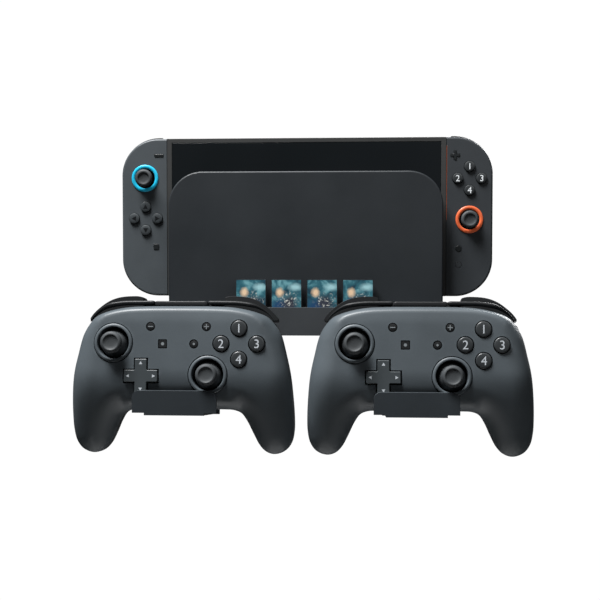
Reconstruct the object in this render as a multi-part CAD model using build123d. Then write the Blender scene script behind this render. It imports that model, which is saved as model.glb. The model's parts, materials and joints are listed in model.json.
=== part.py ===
from build123d import *
from math import radians, tan
import os

# Wall holder carrying a docked hybrid handheld console, four game cards and two gamepads.
# All sizes are millimetres. +X is to the viewer's right, +Z is up, the wall is the plane Y = 0
# and the object stands out of it towards -Y. The origin is the centre of the four wall screw
# holes, on the back of the holder. "Depth" below means distance out from the wall, so a depth
# of 43 is the plane Y = -43. "side" is -1 for the left one of a pair and +1 for the right one.

# ---------------------------------------------------------------- driving dimensions
GAP = 0.3  # clearance between bodies that move apart
FIT = 0.15  # clearance between pieces of one body
SLIVER = 0.05  # overlap used where two solids are fused

# holder
PLATE_HALF_W = 96.0
PLATE_TOP = 38.0
PLATE_T = 3.0
TRAY_HALF_W = 106.0
TRAY_BOTTOM = -55.0
TRAY_T = 2.5
LIP_BACK, LIP_FRONT = 54.0, 62.0
LIP_TOP = -34.7
SCREW_X, SCREW_Z, SCREW_HOLE_R = 60.0, 24.0, 2.25

# game cards
CARD_W, CARD_H, CARD_T = 22.0, 31.0, 3.3
CARD_PITCH = 25.8
CARD_BOTTOM = -45.4
CARD_BACK = 56.4
LABEL_HALF_W = 10.6
LABEL_FOOT, LABEL_HEAD = 5.0, 0.45  # label edges above the card's foot and below its head

# dock
DOCK_HALF_W = 100.0
DOCK_BOTTOM = TRAY_BOTTOM + TRAY_T + GAP
DOCK_TOP = 64.0
DOCK_CORNER_R = 25.0
DOCK_BACK, DOCK_FRONT = 4.3, 53.4
DOCK_PANEL_T = 3.0
DOCK_SLOT_FLOOR = -27.4
DOCK_HOUSING_FRONT = 28.4

# console
TABLET_HALF_W = 102.6
CONSOLE_BOTTOM, CONSOLE_TOP = -27.0, 89.0
CONSOLE_MID = (CONSOLE_BOTTOM + CONSOLE_TOP) / 2
CONSOLE_BACK, CONSOLE_FRONT = 29.0, 43.0
SIDE_INNER, SIDE_OUTER = 102.9, 136.4
SIDE_CORNER_R = 27.0
SIDE_SPLIT = 36.0
SIDE_STICK_PIVOT = 37.6
KEY_PROUD = 0.8  # how far the shoulder keys stand above the shells
EXTRA_KEY_DROP = 11.8  # small flush key below the round one, right controller only

# gamepad
PAD_X = 81.5
PAD_TILT = 7.0  # degrees that each gamepad leans back in its cradle
PAD_PIVOT_Z, PAD_PIVOT_V = -80.0, -53.2  # height, and place on the gamepad, that it leans about
PAD_BACK, PAD_SPLIT, PAD_FRONT = 87.0, 104.0, 121.0
PAD_WALL = 2.5
# corners of the shell's outline, right of its centre line: across, up from the top centre, and radius
PAD_CORNERS = [
    (56.0, 0.0, 18.0),
    (67.3, -19.0, 60.0),
    (78.2, -88.0, 40.0),
    (73.0, -105.5, 9.0),
    (57.5, -106.0, 8.0),
    (41.5, -74.1, 8.0),
]
PAD_LEFT_STICK = (-44.3, -29.4)
PAD_RIGHT_STICK = (20.2, -50.8)
PAD_DPAD = (-25.1, -51.7)
PAD_BUTTONS = [(41.2, -19.3), (29.0, -29.7), (53.1, -29.7), (41.2, -40.2)]
PAD_SYSTEM = [(-19.0, -18.3), (19.0, -18.3), (-10.6, -30.0), (10.6, -30.0)]
PAD_STICK_PIVOT = 115.0
PAD_DPAD_PIVOT = 117.6
TRIGGER_PIVOT = (99.6, -5.0)  # depth, and height from the top centre, of the trigger pins

# cradle
HOOK_BACK, HOOK_FRONT = 62.5, 65.5
HOOK_LIP_BACK, HOOK_LIP_FRONT = 125.4, 128.0
HOOK_FLOOR = -102.3  # top of the sloping shelf where it meets the lip
HOOK_T = 1.9
HOOK_LIP_HALF_W, HOOK_TAB_HALF_W = 28.4, 20.3
HOOK_ARM_HALF_W = 22.0
HOOK_LIP_TOP = -87.5
HOOK_SHIFT = -2.4  # both cradles sit this far to the left of an even spacing
HOOK_X = 80.7

PARTS = {}


# ---------------------------------------------------------------- helpers
def slab(outline, back, front):
    """A solid standing on a face drawn in X and Z, from one depth to another."""
    return extrude(Plane.XZ.offset(back) * outline, front - back)


def block(x0, x1, z0, z1, back, front):
    """A box between two X values, two Z values and two depths."""
    outline = Pos((x0 + x1) / 2, (z0 + z1) / 2) * Rectangle(abs(x1 - x0), abs(z1 - z0))
    return slab(outline, back, front)


def disc(x, z, r, back, front):
    """A round boss along the depth direction."""
    return slab(Pos(x, z) * Circle(r), back, front)


def ball(x, z, depth, r):
    """A sphere at a depth."""
    return Pos(x, -depth, z) * Sphere(r)


def front_edges(solid, depth):
    """The edges of a solid that lie in the plane at one depth."""
    return [e for e in solid.edges() if abs(e.center().Y + depth) < 0.01 and lies_flat(e)]


def lies_flat(edge):
    """True where an edge keeps one depth along its whole length."""
    return abs((edge @ 0).Y - (edge @ 1).Y) < 0.01 and abs((edge @ 0.5).Y - (edge @ 0).Y) < 0.01


def soften(solid, depth, r):
    """Round the outer edges of a slab at one depth."""
    return fillet(front_edges(solid, depth), r)


def keep(name, shape):
    """Store a finished piece under its node name."""
    PARTS[name] = shape


# ---------------------------------------------------------------- holder
def make_bracket():
    """Back plate, tray and the lip with four card pockets, moulded in one piece."""
    plate = block(-PLATE_HALF_W, PLATE_HALF_W, TRAY_BOTTOM, PLATE_TOP, 0, PLATE_T)
    plate = fillet(plate.edges().filter_by(Axis.Y).group_by(Axis.Z)[-1], 12)
    tray = block(-TRAY_HALF_W, TRAY_HALF_W, TRAY_BOTTOM, TRAY_BOTTOM + TRAY_T, 0, LIP_FRONT)
    lip = block(-TRAY_HALF_W, TRAY_HALF_W, TRAY_BOTTOM, LIP_TOP, LIP_BACK, LIP_FRONT)
    lip = fillet(lip.edges().filter_by(Axis.Y).group_by(Axis.Z)[-1], 6)
    body = plate + tray + lip
    for x in (-PLATE_HALF_W + 6, PLATE_HALF_W - 6):
        rib = Polyline((PLATE_T, DOCK_BOTTOM - 1), (PLATE_T + 0.9, DOCK_BOTTOM - 1),
                       (PLATE_T, PLATE_TOP - 20), close=True)
        profile = make_face(rib)
        across_plane = Plane(origin=(x, 0, 0), x_dir=(0, -1, 0), z_dir=(-1, 0, 0))
        body += extrude(across_plane * profile, 1.5, both=True)
    for x in (-SCREW_X, SCREW_X):
        for z in (-SCREW_Z, SCREW_Z):
            body -= disc(x, z, SCREW_HOLE_R, -1, PLATE_T + 1)
    for x in card_places():
        body -= block(x - CARD_W / 2 - GAP, x + CARD_W / 2 + GAP, CARD_BOTTOM - GAP, LIP_TOP + 1,
                      CARD_BACK - GAP, CARD_BACK + CARD_T + GAP)
    for x, depth in cradle_screw_places():
        body -= Pos(x, -depth, TRAY_BOTTOM) * Cylinder(1.25, 2 * TRAY_T + 1)
    keep("wall_bracket", body)


def card_places():
    """Middles of the four card pockets across the holder."""
    return [(i - 1.5) * CARD_PITCH for i in range(4)]


def make_cards():
    """Small game cards with a raised label frame and a finger groove, standing in the lip."""
    for number, x in enumerate(card_places(), start=1):
        top = CARD_BOTTOM + CARD_H
        card = block(x - CARD_W / 2, x + CARD_W / 2, CARD_BOTTOM, top, CARD_BACK, CARD_BACK + CARD_T)
        card = fillet(card.edges().filter_by(Axis.Y), 1.2)
        label = block(x - LABEL_HALF_W, x + LABEL_HALF_W, CARD_BOTTOM + LABEL_FOOT, top - LABEL_HEAD,
                      CARD_BACK + CARD_T - 0.25, CARD_BACK + CARD_T + 1)
        contacts = block(x - 8, x + 8, CARD_BOTTOM + 1.5, CARD_BOTTOM + 8, CARD_BACK - 1, CARD_BACK + 0.4)
        keep(f"game_card_{number}", card - label - contacts)


def cradle_screw_places():
    """Across and depth of the screws that hold the two cradles under the tray."""
    return [(cradle_middle(side) + across, 56.5) for side in (-1, 1) for across in (-14, 14)]


def cradle_middle(side):
    """Middle of one cradle across the holder."""
    return side * HOOK_X + HOOK_SHIFT


def floor_at(depth):
    """Height of the top of a cradle's shelf, which slopes down towards the wall."""
    return HOOK_FLOOR - (HOOK_LIP_BACK - depth) * tan(radians(PAD_TILT))


def make_cradles():
    """J-shaped hooks: flange under the tray, arm, shelf and front lip."""
    for name, side in (("left_cradle", -1), ("right_cradle", 1)):
        x = cradle_middle(side)
        under = TRAY_BOTTOM
        left, right = x - HOOK_ARM_HALF_W, x + HOOK_ARM_HALF_W
        flange = block(left, right, under - 3, under, 50, HOOK_FRONT)
        arm = block(left, right, floor_at(HOOK_BACK) - HOOK_T, under, HOOK_BACK, HOOK_FRONT)
        shelf_back, shelf_front = HOOK_BACK + 0.5, HOOK_LIP_BACK + 0.5
        back_floor, front_floor = floor_at(shelf_back), floor_at(shelf_front)
        profile = Polyline((shelf_back, back_floor), (shelf_front, front_floor),
                           (shelf_front, front_floor - HOOK_T), (shelf_back, back_floor - HOOK_T),
                           close=True)
        across_plane = Plane(origin=(x, 0, 0), x_dir=(0, -1, 0), z_dir=(-1, 0, 0))
        shelf = extrude(across_plane * make_face(profile), HOOK_TAB_HALF_W, both=True)
        tab = block(x - HOOK_TAB_HALF_W, x + HOOK_TAB_HALF_W, front_floor - HOOK_T, HOOK_FLOOR + 1,
                    HOOK_LIP_BACK, HOOK_LIP_FRONT)
        lip = block(x - HOOK_LIP_HALF_W, x + HOOK_LIP_HALF_W, HOOK_FLOOR - 0.2, HOOK_LIP_TOP,
                    HOOK_LIP_BACK, HOOK_LIP_FRONT)
        lip = fillet(lip.edges().filter_by(Axis.Y).group_by(Axis.Z)[-1], 5)
        hook = flange + arm + shelf + tab + lip
        for across, depth in cradle_screw_places():
            hook -= Pos(across, -depth, under) * Cylinder(1.6, 20)
        window = block(x - 12, x + 12, -92, -70, HOOK_BACK - 1, HOOK_FRONT + 1)
        keep(name, hook - fillet(window.edges().filter_by(Axis.Y), 4))


def make_cradle_screws():
    """Four pan-head screws driven up through the cradle flanges into the tray."""
    screws = []
    for x, depth in cradle_screw_places():
        shank = Pos(x, -depth, TRAY_BOTTOM - 0.5) * Cylinder(1.2, 5)
        head = Pos(x, -depth, TRAY_BOTTOM - 3 - 0.9) * Cylinder(2.6, 1.8)
        drive = Pos(x, -depth, TRAY_BOTTOM - 3 - 1.8) * (Box(2.6, 0.6, 1.4) + Box(0.6, 2.6, 1.4))
        screws.append(shank + head - drive)
    keep("cradle_screws", Compound(children=screws))


# ---------------------------------------------------------------- dock
def dock_front_outline():
    """Front face of the dock: straight foot and two large top corners."""
    tall = DOCK_TOP - DOCK_BOTTOM
    rounded = Pos(0, DOCK_BOTTOM + tall / 2) * RectangleRounded(2 * DOCK_HALF_W, tall, DOCK_CORNER_R)
    return rounded + Pos(0, DOCK_BOTTOM + tall / 4) * Rectangle(2 * DOCK_HALF_W, tall / 2)


def make_dock():
    """Rear housing, front panel, snap-off rear cover and the circuit board inside."""
    w = DOCK_HALF_W
    panel_back = DOCK_FRONT - DOCK_PANEL_T
    panel = slab(dock_front_outline(), panel_back, DOCK_FRONT)
    panel = soften(panel, DOCK_FRONT, 1.2)
    keep("dock_front_panel", panel)

    rear = slab(dock_front_outline(), DOCK_BACK, DOCK_HOUSING_FRONT)
    rear = soften(rear, DOCK_BACK, 3.0)
    foot = block(-w, w, DOCK_BOTTOM, DOCK_SLOT_FLOOR, DOCK_HOUSING_FRONT - SLIVER, panel_back)
    housing = rear + foot
    # sealed space for the board, reached from the back
    housing -= block(-w + 3, w - 3, DOCK_BOTTOM + 3, DOCK_TOP - 12, DOCK_BACK + 2.6, DOCK_HOUSING_FRONT - 2.5)
    housing -= block(-62, 62, DOCK_BOTTOM + 6, 24, DOCK_BACK - 1, DOCK_BACK + 3)
    housing -= block(-40, 40, DOCK_BOTTOM + 3, DOCK_SLOT_FLOOR - 3, DOCK_HOUSING_FRONT - 3, panel_back - 3)
    # slot for the connector and two side sockets
    housing -= block(-5.2, 5.2, DOCK_SLOT_FLOOR - 4, DOCK_SLOT_FLOOR + 1, 33.9, 38.1)
    for z in (-36, -24):
        housing -= block(-w - 1, -w + 4, z - 3.3, z + 3.3, 11, 25)
    # air grille across the top of the rear housing
    for i in range(9):
        x = (i - 4) * 8
        housing -= block(x - 2.6, x + 2.6, DOCK_TOP - 13, DOCK_TOP + 1, 14, 17)
        housing -= block(x - 2.6, x + 2.6, DOCK_TOP - 13, DOCK_TOP + 1, 19, 22)
    keep("dock_housing", housing)

    cover = block(-61.7, 61.7, DOCK_BOTTOM + 6.3, 23.7, DOCK_BACK, DOCK_BACK + 2)
    cover = fillet(cover.edges().filter_by(Axis.Y), 0.8)
    notch = block(30, 48, DOCK_BOTTOM + 5, DOCK_BOTTOM + 12, DOCK_BACK - 1, DOCK_BACK + 3)
    keep("dock_rear_cover", cover - notch)

    board = block(-w + 6, w - 6, DOCK_BOTTOM + 5, 26, 18, 19.6)
    # blower beside the board's chips
    blower = disc(-62, 30, 17, 19.6, 25) - disc(-62, 30, 7, 19, 25.5) + disc(-62, 30, 6, 19.6, 24.5)
    power_socket = block(-20, -10, -46, -39, 8, 18)
    video_socket = block(2, 17, -46, -40, 8, 18)
    network_socket = block(27, 43, -46, -33, 8, 18)
    riser = block(-12, 12, -40, -37, 19.6, 40)
    stalk = block(-4.6, 4.6, -40, DOCK_SLOT_FLOOR - 0.2, 34.2, 37.8)
    plug = block(-4.1, 4.1, DOCK_SLOT_FLOOR - 1, DOCK_SLOT_FLOOR + 5.6, 34.8, 37.2)
    inside = board + power_socket + video_socket + network_socket + riser + stalk + plug
    sockets = [block(-w + 2.8, -w + 13, z - 3.1, z + 3.1, 11.2, 18 + SLIVER) for z in (-36, -24)]
    for z, socket in zip((-36, -24), sockets):
        inside += socket - block(-w + 2, -w + 12, z - 2.2, z + 2.2, 12.2, 16.9)
    keep("dock_circuit_board", Compound(children=[inside, blower]))


# ---------------------------------------------------------------- console
def make_tablet():
    """Rear case, bezel, glass, works, stand and the top-edge controls of the console."""
    w, b, t = TABLET_HALF_W, CONSOLE_BOTTOM, CONSOLE_TOP
    bezel_back = CONSOLE_FRONT - 1.6
    case = block(-w, w, b, t, CONSOLE_BACK, bezel_back)
    case = fillet([e for e in front_edges(case, CONSOLE_BACK) if abs(e.center().Z - CONSOLE_MID) > 50], 1.5)
    case -= block(-w + 4.2, w - 4.2, b + 2, t - 2, CONSOLE_BACK + 3, bezel_back + 1)
    # recess for the stand, and the finger notch that opens it
    stand_top, stand_low = CONSOLE_MID + 8, b + 4
    case -= block(-90, 90, stand_low, stand_top, CONSOLE_BACK - 1, CONSOLE_BACK + 1.4)
    # contact recess at each side, connector socket in the bottom edge
    for side in (-1, 1):
        case -= block(side * (w - 3.4), side * (w + 1), CONSOLE_MID - 9, CONSOLE_MID + 9, 32.6, 38.4)
    case -= block(-5, 5, b - 1, b + 7.2, 34, 38)
    # power button, volume rocker, card door and air outlets on the top edge
    case -= block(-93.2, -84.8, t - 4, t + 1, 34.3, 37.7)
    case -= block(-78.3, -55.7, t - 4, t + 1, 34.3, 37.7)
    case -= block(70, 94, t - 1.3, t + 1, 32.6, 40.4)
    case -= block(72, 92, t - 4, t, 34.6, 38.6)
    for i in range(10):
        x = (i - 4.5) * 7.4
        case -= block(x - 2.6, x + 2.6, t - 4, t + 1, 34, 36.6)
    keep("tablet_housing", case)

    bezel = block(-w, w, b, t, bezel_back, CONSOLE_FRONT)
    bezel -= block(-w + 3.6, w - 3.6, b + 3.2, t - 3.2, bezel_back - 1, CONSOLE_FRONT + 1)
    keep("tablet_bezel", bezel)
    glass = block(-w + 3.75, w - 3.75, b + 3.35, t - 3.35, bezel_back, CONSOLE_FRONT - 0.1)
    keep("screen_glass", glass)

    stand = block(-89.85, 89.85, stand_low + FIT, stand_top - FIT, CONSOLE_BACK + 0.1, CONSOLE_BACK + 1.4)
    stand -= block(-76, 76, stand_low - 1, stand_top - 12, CONSOLE_BACK - 1, CONSOLE_BACK + 2)
    keep("kickstand", stand)
    # the case's own back stands flush inside the stand's frame
    PARTS["tablet_housing"] += block(-75.8, 75.8, stand_low - SLIVER, stand_top - 12.2,
                                     CONSOLE_BACK, CONSOLE_BACK + 3)

    screen = block(-94, 94, b + 6, t - 6, 39, bezel_back)
    battery = block(-88, -14, b + 14, b + 78, 32.4, 37.6)
    board = block(-10, 90, b + 12, t - 20, 33.4, 34.6)
    chip = block(12, 30, 20, 38, 34.6, 36)
    fan = disc(66, 36, 20, 34.6, 38.4) - disc(66, 36, 8, 34.5, 38.5) + disc(66, 36, 7, 34.6, 38)
    dock_port = block(-4.4, 4.4, b + 8, b + 15, 34.2, 37.8)
    works = [screen, battery, board + chip + dock_port, fan]
    keep("tablet_internals", Compound(children=works))

    button = block(-92.9, -85.1, t - 4, t + 0.5, 34.6, 37.4) + block(-94, -84, t - 4, t - 3, 34, 38)
    keep("power_button", button)
    rocker = block(-78.0, -56.0, t - 4, t + 0.5, 34.6, 37.4) + block(-79, -55, t - 4, t - 3, 34, 38)
    rocker += disc(-67, t - 4, 0.8, 34, 38)
    keep("volume_rocker", rocker)
    door = block(70.3, 93.7, t - 1.1, t, 32.9, 40.1)
    hinge_edges = [e for e in door.edges().filter_by(Axis.X) if e.center().Y > -33]
    keep("card_door", fillet(hinge_edges, 0.54))


def side_outline(side, grow=0.0):
    """Front outline of a side controller, with its two large outer corners."""
    height = CONSOLE_TOP - CONSOLE_BOTTOM
    width = 2 * SIDE_OUTER
    whole = Pos(0, CONSOLE_MID) * RectangleRounded(width + 2 * grow, height + 2 * grow, SIDE_CORNER_R + grow)
    cut_w = SIDE_OUTER - SIDE_INNER + 10
    return whole & Pos(side * (SIDE_INNER + cut_w / 2), CONSOLE_MID) * Rectangle(cut_w, height + 40)


def shoulder_zone(side, inner_x, low_z):
    """The stretch of top edge and outer corner that a shoulder key or trigger takes up."""
    wide = SIDE_OUTER + 5 - inner_x
    tall = CONSOLE_TOP + 5 - low_z
    return Pos(side * (inner_x + wide / 2), low_z + tall / 2) * Rectangle(wide, tall)


def plus_face(x, z, arm, width):
    """A cross-shaped face."""
    return Pos(x, z) * (Rectangle(2 * arm, width) + Rectangle(width, 2 * arm))


def thumb_stick(x, z, pivot, ball_r, stem_r, cap_r, cap_back, cap_front):
    """Ball joint, stem and dished cap of one thumb stick."""
    stick = ball(x, z, pivot, ball_r)
    stick += disc(x, z, stem_r, pivot, cap_back + SLIVER)
    cap = disc(x, z, cap_r, cap_back, cap_front)
    cap = fillet(front_edges(cap, cap_front) + front_edges(cap, cap_back), 0.5)
    dish = Pos(x, -cap_front - 2.6 * cap_r, z) * Sphere(2.72 * cap_r)
    return stick + (cap - dish)


def pin(x, z, depth, r, reach, axis):
    """Pivot pin through a point, along X or Z."""
    turn = Rot(0, 90, 0) if axis == Axis.X else Rot(0, 0, 0)
    return Pos(x, -depth, z) * turn * Cylinder(r, 2 * reach)


SIDE_PLACES = {
    # side: stick, four buttons' middle, two small keys' places
    -1: ((119.1, 28.9), (118.6, -0.8), (108.7, 45.6), (110.9, -21.7)),
    1: ((119.5, -2.0), (119.5, 27.9), (109.1, 44.6), (111.8, -23.2)),
}


def make_side_controller(side, name):
    """One detachable controller: two shells, stick and ring, keys, shoulder key and trigger."""
    stick_at, four_at, sign_at, small_at = SIDE_PLACES[side]
    mid = CONSOLE_MID
    sx, sz = side * stick_at[0], mid + stick_at[1]
    bx, bz = side * four_at[0], mid + four_at[1]
    px, pz = side * sign_at[0], mid + sign_at[1]
    cx, cz = side * small_at[0], mid + small_at[1]
    outline = side_outline(side)
    core = side_outline(side, -1.8) & Pos(side * (SIDE_INNER + 51.5), mid) * Rectangle(100, 200)
    key_room = (side_outline(side, 1) - side_outline(side, -3.5)) & shoulder_zone(side, 105.2, 70.5)
    proud = Pos(-side * KEY_PROUD, 0) * side_outline(side, KEY_PROUD)
    key_ring = (proud - side_outline(side, -2.4)) & shoulder_zone(side, 106.0, 72.0)

    front = slab(outline, SIDE_SPLIT, CONSOLE_FRONT)
    front = soften_outer(front, CONSOLE_FRONT, 1.6)
    front -= slab(core, SIDE_SPLIT - 1, CONSOLE_FRONT - 1.8)
    front -= slab(key_room, SIDE_SPLIT - 1, 41.4)
    front -= disc(sx, sz, 7.4, SIDE_SPLIT, CONSOLE_FRONT + 1)
    spots = [(bx, bz + 8.6), (bx - 8.6, bz), (bx + 8.6, bz), (bx, bz - 8.6)]
    for x, z in spots:
        front -= disc(x, z, 4.15, SIDE_SPLIT, CONSOLE_FRONT + 1)
    sign, sign_hole = Pos(px, pz) * Rectangle(6.6, 1.9), Pos(px, pz) * Rectangle(7.0, 2.3)
    if side > 0:
        sign, sign_hole = plus_face(px, pz, 3.3, 1.9), plus_face(px, pz, 3.5, 2.3)
    front -= slab(sign_hole, SIDE_SPLIT, CONSOLE_FRONT + 1)
    front -= disc(cx, cz, 2.3, SIDE_SPLIT, CONSOLE_FRONT + 1)
    if side > 0:
        front -= disc(cx, cz - EXTRA_KEY_DROP, 2.3, SIDE_SPLIT, CONSOLE_FRONT + 1)
    keep(f"{name}_front_shell", front)

    rear = slab(outline, CONSOLE_BACK, SIDE_SPLIT)
    rear = soften_outer(rear, CONSOLE_BACK, 3.0)
    rear -= slab(core, CONSOLE_BACK + 1.8, SIDE_SPLIT + 1)
    rear -= slab(key_room, CONSOLE_BACK + 0.9, SIDE_SPLIT + 1)
    tongue = block(side * (TABLET_HALF_W - 2.8), side * (SIDE_INNER + SLIVER), mid - 8, mid + 8,
                   33.2, SIDE_SPLIT)
    keep(f"{name}_rear_shell", rear + tongue)

    ring = slab(Pos(sx, sz) * (Circle(10.4) - Circle(7.6)), CONSOLE_FRONT, CONSOLE_FRONT + 0.8)
    keep(f"{name}_stick_ring", fillet(front_edges(ring, CONSOLE_FRONT + 0.8), 0.3))
    stick = thumb_stick(sx, sz, SIDE_STICK_PIVOT, 5.8, 2.8, 6.2, 46.8, 49.6)
    keep(f"{name}_stick", stick + pin(sx, sz, SIDE_STICK_PIVOT, 1.1, 7.1, Axis.X))

    keys = []
    for x, z in spots:
        key = disc(x, z, 3.9, 38.4, CONSOLE_FRONT + 1.5)
        keys.append(fillet(front_edges(key, CONSOLE_FRONT + 1.5), 0.4) + disc(x, z, 4.7, 38.4, 39.4))
    keep(f"{name}_buttons", Compound(children=keys))
    small = [slab(sign, 38.6, CONSOLE_FRONT + 0.4), disc(cx, cz, 2.1, 38.6, CONSOLE_FRONT + 0.4)]
    if side > 0:
        small.append(disc(cx, cz - EXTRA_KEY_DROP, 2.1, 38.6, CONSOLE_FRONT + 0.4))
    keep(f"{name}_small_buttons", Compound(children=small))
    keep(f"{name}_shoulder_key", slab(key_ring, SIDE_SPLIT + 0.4, 41.1))
    keep(f"{name}_trigger", slab(key_ring, CONSOLE_BACK + 1.2, SIDE_SPLIT - 0.2))


def soften_outer(solid, depth, r):
    """Round the face edges of a side controller, except the straight inner one."""
    edges = [e for e in front_edges(solid, depth) if abs(e.center().X) > SIDE_INNER + 1]
    return fillet(edges, r)


# ---------------------------------------------------------------- gamepads
def pad_outline(inset=0.0):
    """Outline of the gamepad shell about its own centre line, from its top centre."""
    corners = [(x, z) for x, z, r in PAD_CORNERS] + [(-x, z) for x, z, r in reversed(PAD_CORNERS)]
    radii = [r for x, z, r in PAD_CORNERS] + [r for x, z, r in reversed(PAD_CORNERS)]
    face = make_face(FilletPolyline(*corners, radius=radii, close=True))
    if inset:
        face = offset(face, -inset)
    return face


def pad_grip(side_u):
    """Rounded handle at the back of one side of the gamepad: three balls joined by cones."""
    stations = [(50, -57, 94, 15), (59, -75, 91.6, 15.5), (63, -89, 90.4, 12.4)]
    grip = None
    for (x0, z0, d0, r0), (x1, z1, d1, r1) in zip(stations, stations[1:]):
        a, b = Vector(side_u * x0, -d0, z0), Vector(side_u * x1, -d1, z1)
        step = b - a
        cone = Plane(origin=a, z_dir=step) * Pos(0, 0, step.length / 2) * Cone(r0, r1, step.length)
        piece = Pos(a) * Sphere(r0) + cone + Pos(b) * Sphere(r1)
        grip = piece if grip is None else grip + piece
    return grip


def bumper_band(side_u, outline, inner):
    """The stretch of the shell's top edge that a bumper covers."""
    zone = Pos(side_u * 42.5, -4) * Rectangle(49, 20)
    return (outline - inner) & zone


def make_gamepad(name, side):
    """One gamepad: two shells, works, two sticks, direction pad, keys, bumpers, triggers."""
    lean = Pos(side * PAD_X, -PAD_FRONT, PAD_PIVOT_Z) * Rot(-PAD_TILT, 0, 0)
    place = lean * Pos(0, PAD_FRONT, -PAD_PIVOT_V)
    outline = pad_outline()
    core = pad_outline(PAD_WALL)

    front = slab(outline, PAD_SPLIT, PAD_FRONT)
    front = soften(front, PAD_FRONT, 3.0)
    front -= slab(core, PAD_SPLIT - 1, PAD_FRONT - PAD_WALL)
    rear = slab(outline, PAD_BACK, PAD_SPLIT)
    rear = soften(rear, PAD_BACK, 5.0)
    for side_u in (-1, 1):
        rear += pad_grip(side_u) - block(-100, 100, -130, 10, PAD_SPLIT, PAD_SPLIT + 30)
    rear -= slab(core, PAD_BACK + PAD_WALL, PAD_SPLIT + 1)

    sticks = {"left_stick": PAD_LEFT_STICK, "right_stick": PAD_RIGHT_STICK}
    for stick_name, (x, z) in sticks.items():
        front += disc(x, z, 13.7, PAD_FRONT - 0.5, PAD_FRONT + 2)
        front -= disc(x, z, 10.6, PAD_SPLIT, PAD_FRONT + 4)
        stick = thumb_stick(x, z, PAD_STICK_PIVOT, 8.6, 3.6, 7.4, 127.2, 131.0)
        axis = Axis.X if stick_name == "left_stick" else Axis.Z
        keep(f"{name}_{stick_name}", place * (stick + pin(x, z, PAD_STICK_PIVOT, 1.4, 9.9, axis)))
    x, z = PAD_DPAD
    front -= slab(plus_face(x, z, 11.6, 8.8), PAD_SPLIT, PAD_FRONT + 4)
    pad = slab(plus_face(x, z, 10.8, 7.2), 117.0, 123.4) + pin(x, z, PAD_DPAD_PIVOT, 1.4, 10.8, Axis.X)
    keep(f"{name}_direction_pad", place * pad)
    keys = []
    for x, z in PAD_BUTTONS:
        front -= disc(x, z, 5.65, PAD_SPLIT, PAD_FRONT + 4)
        key = disc(x, z, 5.35, 116.0, 123.2)
        keys.append(fillet(front_edges(key, 123.2), 0.6) + disc(x, z, 6.2, 116.0, 117.0))
    keep(f"{name}_buttons", place * Compound(children=keys))
    system = []
    for i, (x, z) in enumerate(PAD_SYSTEM):
        shape, hole = Pos(x, z) * Circle(2.9), Pos(x, z) * Circle(3.1)
        if i == 2:
            shape, hole = Pos(x, z) * Rectangle(5.6, 5.6), Pos(x, z) * Rectangle(6.0, 6.0)
        front -= slab(hole, PAD_SPLIT, PAD_FRONT + 4)
        system.append(slab(shape, 116.6, 121.8))
    keep(f"{name}_system_buttons", place * Compound(children=system))

    bumper_inner, room_inner = pad_outline(4.0), pad_outline(5.4)
    for side_name, side_u in (("left", -1), ("right", 1)):
        band = bumper_band(side_u, outline, bumper_inner)
        room = (pad_outline(-1.0) - room_inner) & Pos(side_u * 42.5, -4.4) * Rectangle(49.8, 22.0)
        front -= slab(room, 106.6, 117.4)
        bumper = slab(band, 107.0, 117.0)
        keep(f"{name}_{side_name}_bumper", place * bumper)
        rear -= block(side_u * 27.4, side_u * 80, -15.2, 10, 80, 102.6)
        zone = Pos(side_u * 49, 14.2) * Rectangle(42, 51.6)
        trigger = slab(pad_outline(-2.6) & zone, 79.0, 101.6)
        trigger = fillet(front_edges(trigger, 79.0), 2.4)
        pin_depth, pin_z = TRIGGER_PIVOT
        trigger += pin(side_u * 28.1, pin_z, pin_depth, 1.5, 2.0, Axis.X)
        keep(f"{name}_{side_name}_trigger", place * trigger)
    keep(f"{name}_front_shell", place * front)
    keep(f"{name}_rear_shell", place * rear)

    board = slab(pad_outline(9) & Pos(0, -40) * Rectangle(108, 46), 103.2, 104.6)
    battery = block(-24, 24, -56, -24, 93, 102.4)
    wells = [disc(x, z, 4.0, 104.5, 105.8) for x, z in sticks.values()]
    motors = [disc(side_u * 58, -68, 6, 92, 101) for side_u in (-1, 1)]
    works = board
    for well in wells:
        works += well
    keep(f"{name}_internals", place * Compound(children=[works, battery] + motors))


# ---------------------------------------------------------------- build
make_bracket()
make_cards()
make_cradles()
make_cradle_screws()
make_dock()
make_tablet()
make_side_controller(-1, "left_controller")
make_side_controller(1, "right_controller")
make_gamepad("left_gamepad", -1)
make_gamepad("right_gamepad", 1)

os.makedirs("parts", exist_ok=True)
for node, shape in PARTS.items():
    export_step(shape, f"parts/{node}.step")
print(len(PARTS), "parts written")
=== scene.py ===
import json
import math

import bmesh
import bpy
import numpy as np
from mathutils import Matrix, Vector, geometry

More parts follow.
